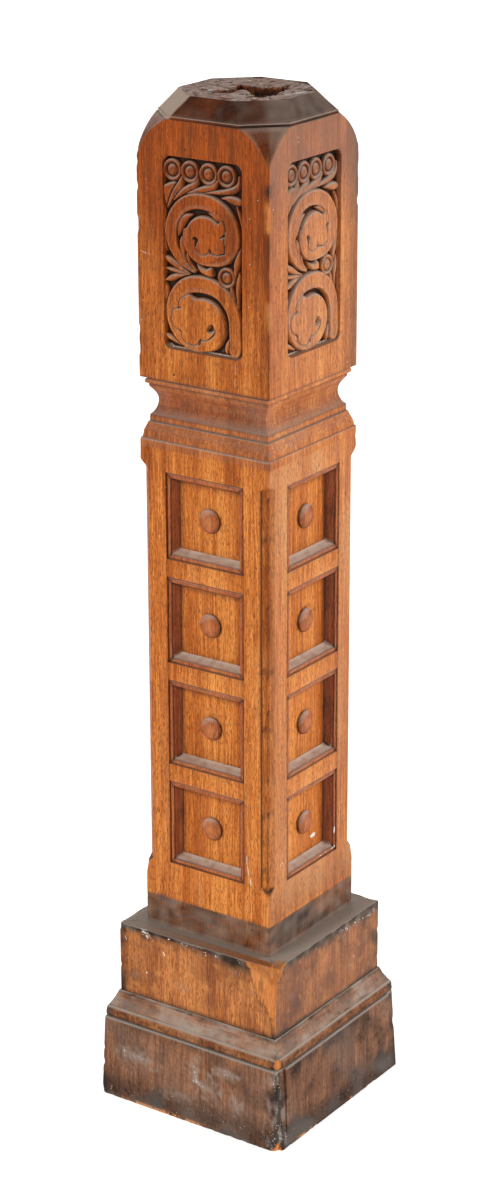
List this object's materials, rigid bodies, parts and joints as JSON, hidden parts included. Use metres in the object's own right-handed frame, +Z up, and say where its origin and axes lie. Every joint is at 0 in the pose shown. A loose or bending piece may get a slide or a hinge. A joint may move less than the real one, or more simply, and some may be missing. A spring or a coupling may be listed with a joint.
{
  "type": "newel post",
  "caption": "Square wooden newel post: scroll-carved head, moulded neck, coffered shaft with stopped chamfers, stepped plinth, finial lost.",
  "frame": {"origin": "middle of the underside, on the floor", "axes": "+Z up the post, -Y out of the front face, +X out of the side face"},
  "size_m": [0.2532, 0.2532, 1.187],
  "materials": {
    "post_wood": "old varnish, worn satin",
    "trim_wood": "old varnish, redder, dusty",
    "plinth_wood": "scuffed varnish, dusty ledges, split corner",
    "skirting_wood": "dirty, scuffed, smeared"
  },
  "bodies": {
    "root": {"coffer_button_back_1": "trim_wood", "coffer_button_back_2": "trim_wood", "coffer_button_back_3": "trim_wood", "coffer_button_back_4": "trim_wood", "coffer_button_far_1": "trim_wood", "coffer_button_far_2": "trim_wood", "coffer_button_far_3": "trim_wood", "coffer_button_far_4": "trim_wood", "coffer_button_front_1": "trim_wood", "coffer_button_front_2": "trim_wood", "coffer_button_front_3": "trim_wood", "coffer_button_front_4": "trim_wood", "coffer_button_side_1": "trim_wood", "coffer_button_side_2": "trim_wood", "coffer_button_side_3": "trim_wood", "coffer_button_side_4": "trim_wood", "coffer_frame_back_1": "trim_wood", "coffer_frame_back_2": "trim_wood", "coffer_frame_back_3": "trim_wood", "coffer_frame_back_4": "trim_wood", "coffer_frame_far_1": "trim_wood", "coffer_frame_far_2": "trim_wood", "coffer_frame_far_3": "trim_wood", "coffer_frame_far_4": "trim_wood", "coffer_frame_front_1": "trim_wood", "coffer_frame_front_2": "trim_wood", "coffer_frame_front_3": "trim_wood", "coffer_frame_front_4": "trim_wood", "coffer_frame_side_1": "trim_wood", "coffer_frame_side_2": "trim_wood", "coffer_frame_side_3": "trim_wood", "coffer_frame_side_4": "trim_wood", "plinth_board_back": "plinth_wood", "plinth_board_far": "plinth_wood", "plinth_board_front": "plinth_wood", "plinth_board_side": "plinth_wood", "plinth_mould_back": "plinth_wood", "plinth_mould_far": "plinth_wood", "plinth_mould_front": "plinth_wood", "plinth_mould_side": "plinth_wood", "post": "post_wood", "rail_back_1": "post_wood", "rail_back_2": "post_wood", "rail_back_3": "post_wood", "rail_far_1": "post_wood", "rail_far_2": "post_wood", "rail_far_3": "post_wood", "rail_front_1": "post_wood", "rail_front_2": "post_wood", "rail_front_3": "post_wood", "rail_side_1": "post_wood", "rail_side_2": "post_wood", "rail_side_3": "post_wood", "skirting_board_back": "skirting_wood", "skirting_board_far": "skirting_wood", "skirting_board_front": "skirting_wood", "skirting_board_side": "skirting_wood"}
  },
  "joints": []
}
